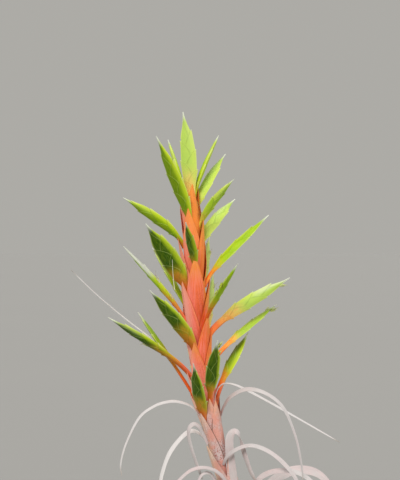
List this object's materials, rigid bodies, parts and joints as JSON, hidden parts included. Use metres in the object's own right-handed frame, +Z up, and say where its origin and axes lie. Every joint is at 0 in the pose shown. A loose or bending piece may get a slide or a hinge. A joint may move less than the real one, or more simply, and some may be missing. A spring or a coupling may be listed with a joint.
{
  "type": "xerographica air plant in flower",
  "caption": "Air plant in flower: a rosette of silvery, curling leaves with a tall pink bract-clad stem that carries flattened lime-green flower spikes. It stands on its own trimmed base.",
  "frame": {"origin": "middle of the trimmed flat underside of the caudex, on the surface that the plant stands on", "axes": "+Z up along the flower stem, -X to the side towards which the stem leans, -Y towards the viewer's side"},
  "size_m": [0.4295, 0.4206, 0.6251],
  "materials": {
    "caudex_bark": "matte",
    "bract_skin": "satin",
    "spike_green": "satin",
    "strap_silver": "matte",
    "leaf_silver": "matte"
  },
  "bodies": {
    "root": {"caudex": "caudex_bark", "flower_stem": "bract_skin", "spike_terminal": "spike_green", "spike_top_left": "spike_green", "spike_top_left_back": "spike_green", "spike_top_right": "spike_green", "spike_top_right_back": "spike_green", "spike_top_back": "spike_green", "spike_high_right": "spike_green", "spike_high_right_back": "spike_green", "spike_high_left": "spike_green", "spike_high_front": "spike_green", "spike_high_back": "spike_green", "spike_mid_left_front": "spike_green", "spike_mid_left_back": "spike_green", "spike_mid_left": "spike_green", "spike_mid_right": "spike_green", "spike_mid_right_front": "spike_green", "spike_mid_back": "spike_green", "spike_low_right": "spike_green", "spike_low_right_back": "spike_green", "spike_low_left_front": "spike_green", "spike_under_right": "spike_green", "spike_under_left": "spike_green", "spike_under_back": "spike_green", "spike_under_front": "spike_green", "spike_lowest_left": "spike_green", "spike_lowest_front": "spike_green", "spike_lowest_right": "spike_green", "strap_left_high": "strap_silver", "strap_right_high": "strap_silver", "strap_right_arch": "strap_silver", "strap_left_fold": "strap_silver", "strap_left_arch": "strap_silver", "strap_front_low": "strap_silver", "strap_right_fold": "strap_silver", "strap_right_low": "strap_silver", "strap_front_curl": "strap_silver", "strap_thread": "strap_silver", "strap_heart_near": "strap_silver", "strap_heart_far": "strap_silver", "leaf_01": "leaf_silver", "leaf_02": "leaf_silver", "leaf_03": "leaf_silver", "leaf_04": "leaf_silver", "leaf_05": "leaf_silver", "leaf_06": "leaf_silver", "leaf_07": "leaf_silver", "leaf_08": "leaf_silver", "leaf_09": "leaf_silver", "leaf_10": "leaf_silver", "leaf_11": "leaf_silver", "leaf_12": "leaf_silver", "leaf_13": "leaf_silver", "leaf_14": "leaf_silver", "leaf_15": "leaf_silver", "leaf_16": "leaf_silver", "leaf_17": "leaf_silver", "leaf_18": "leaf_silver"}
  },
  "joints": []
}
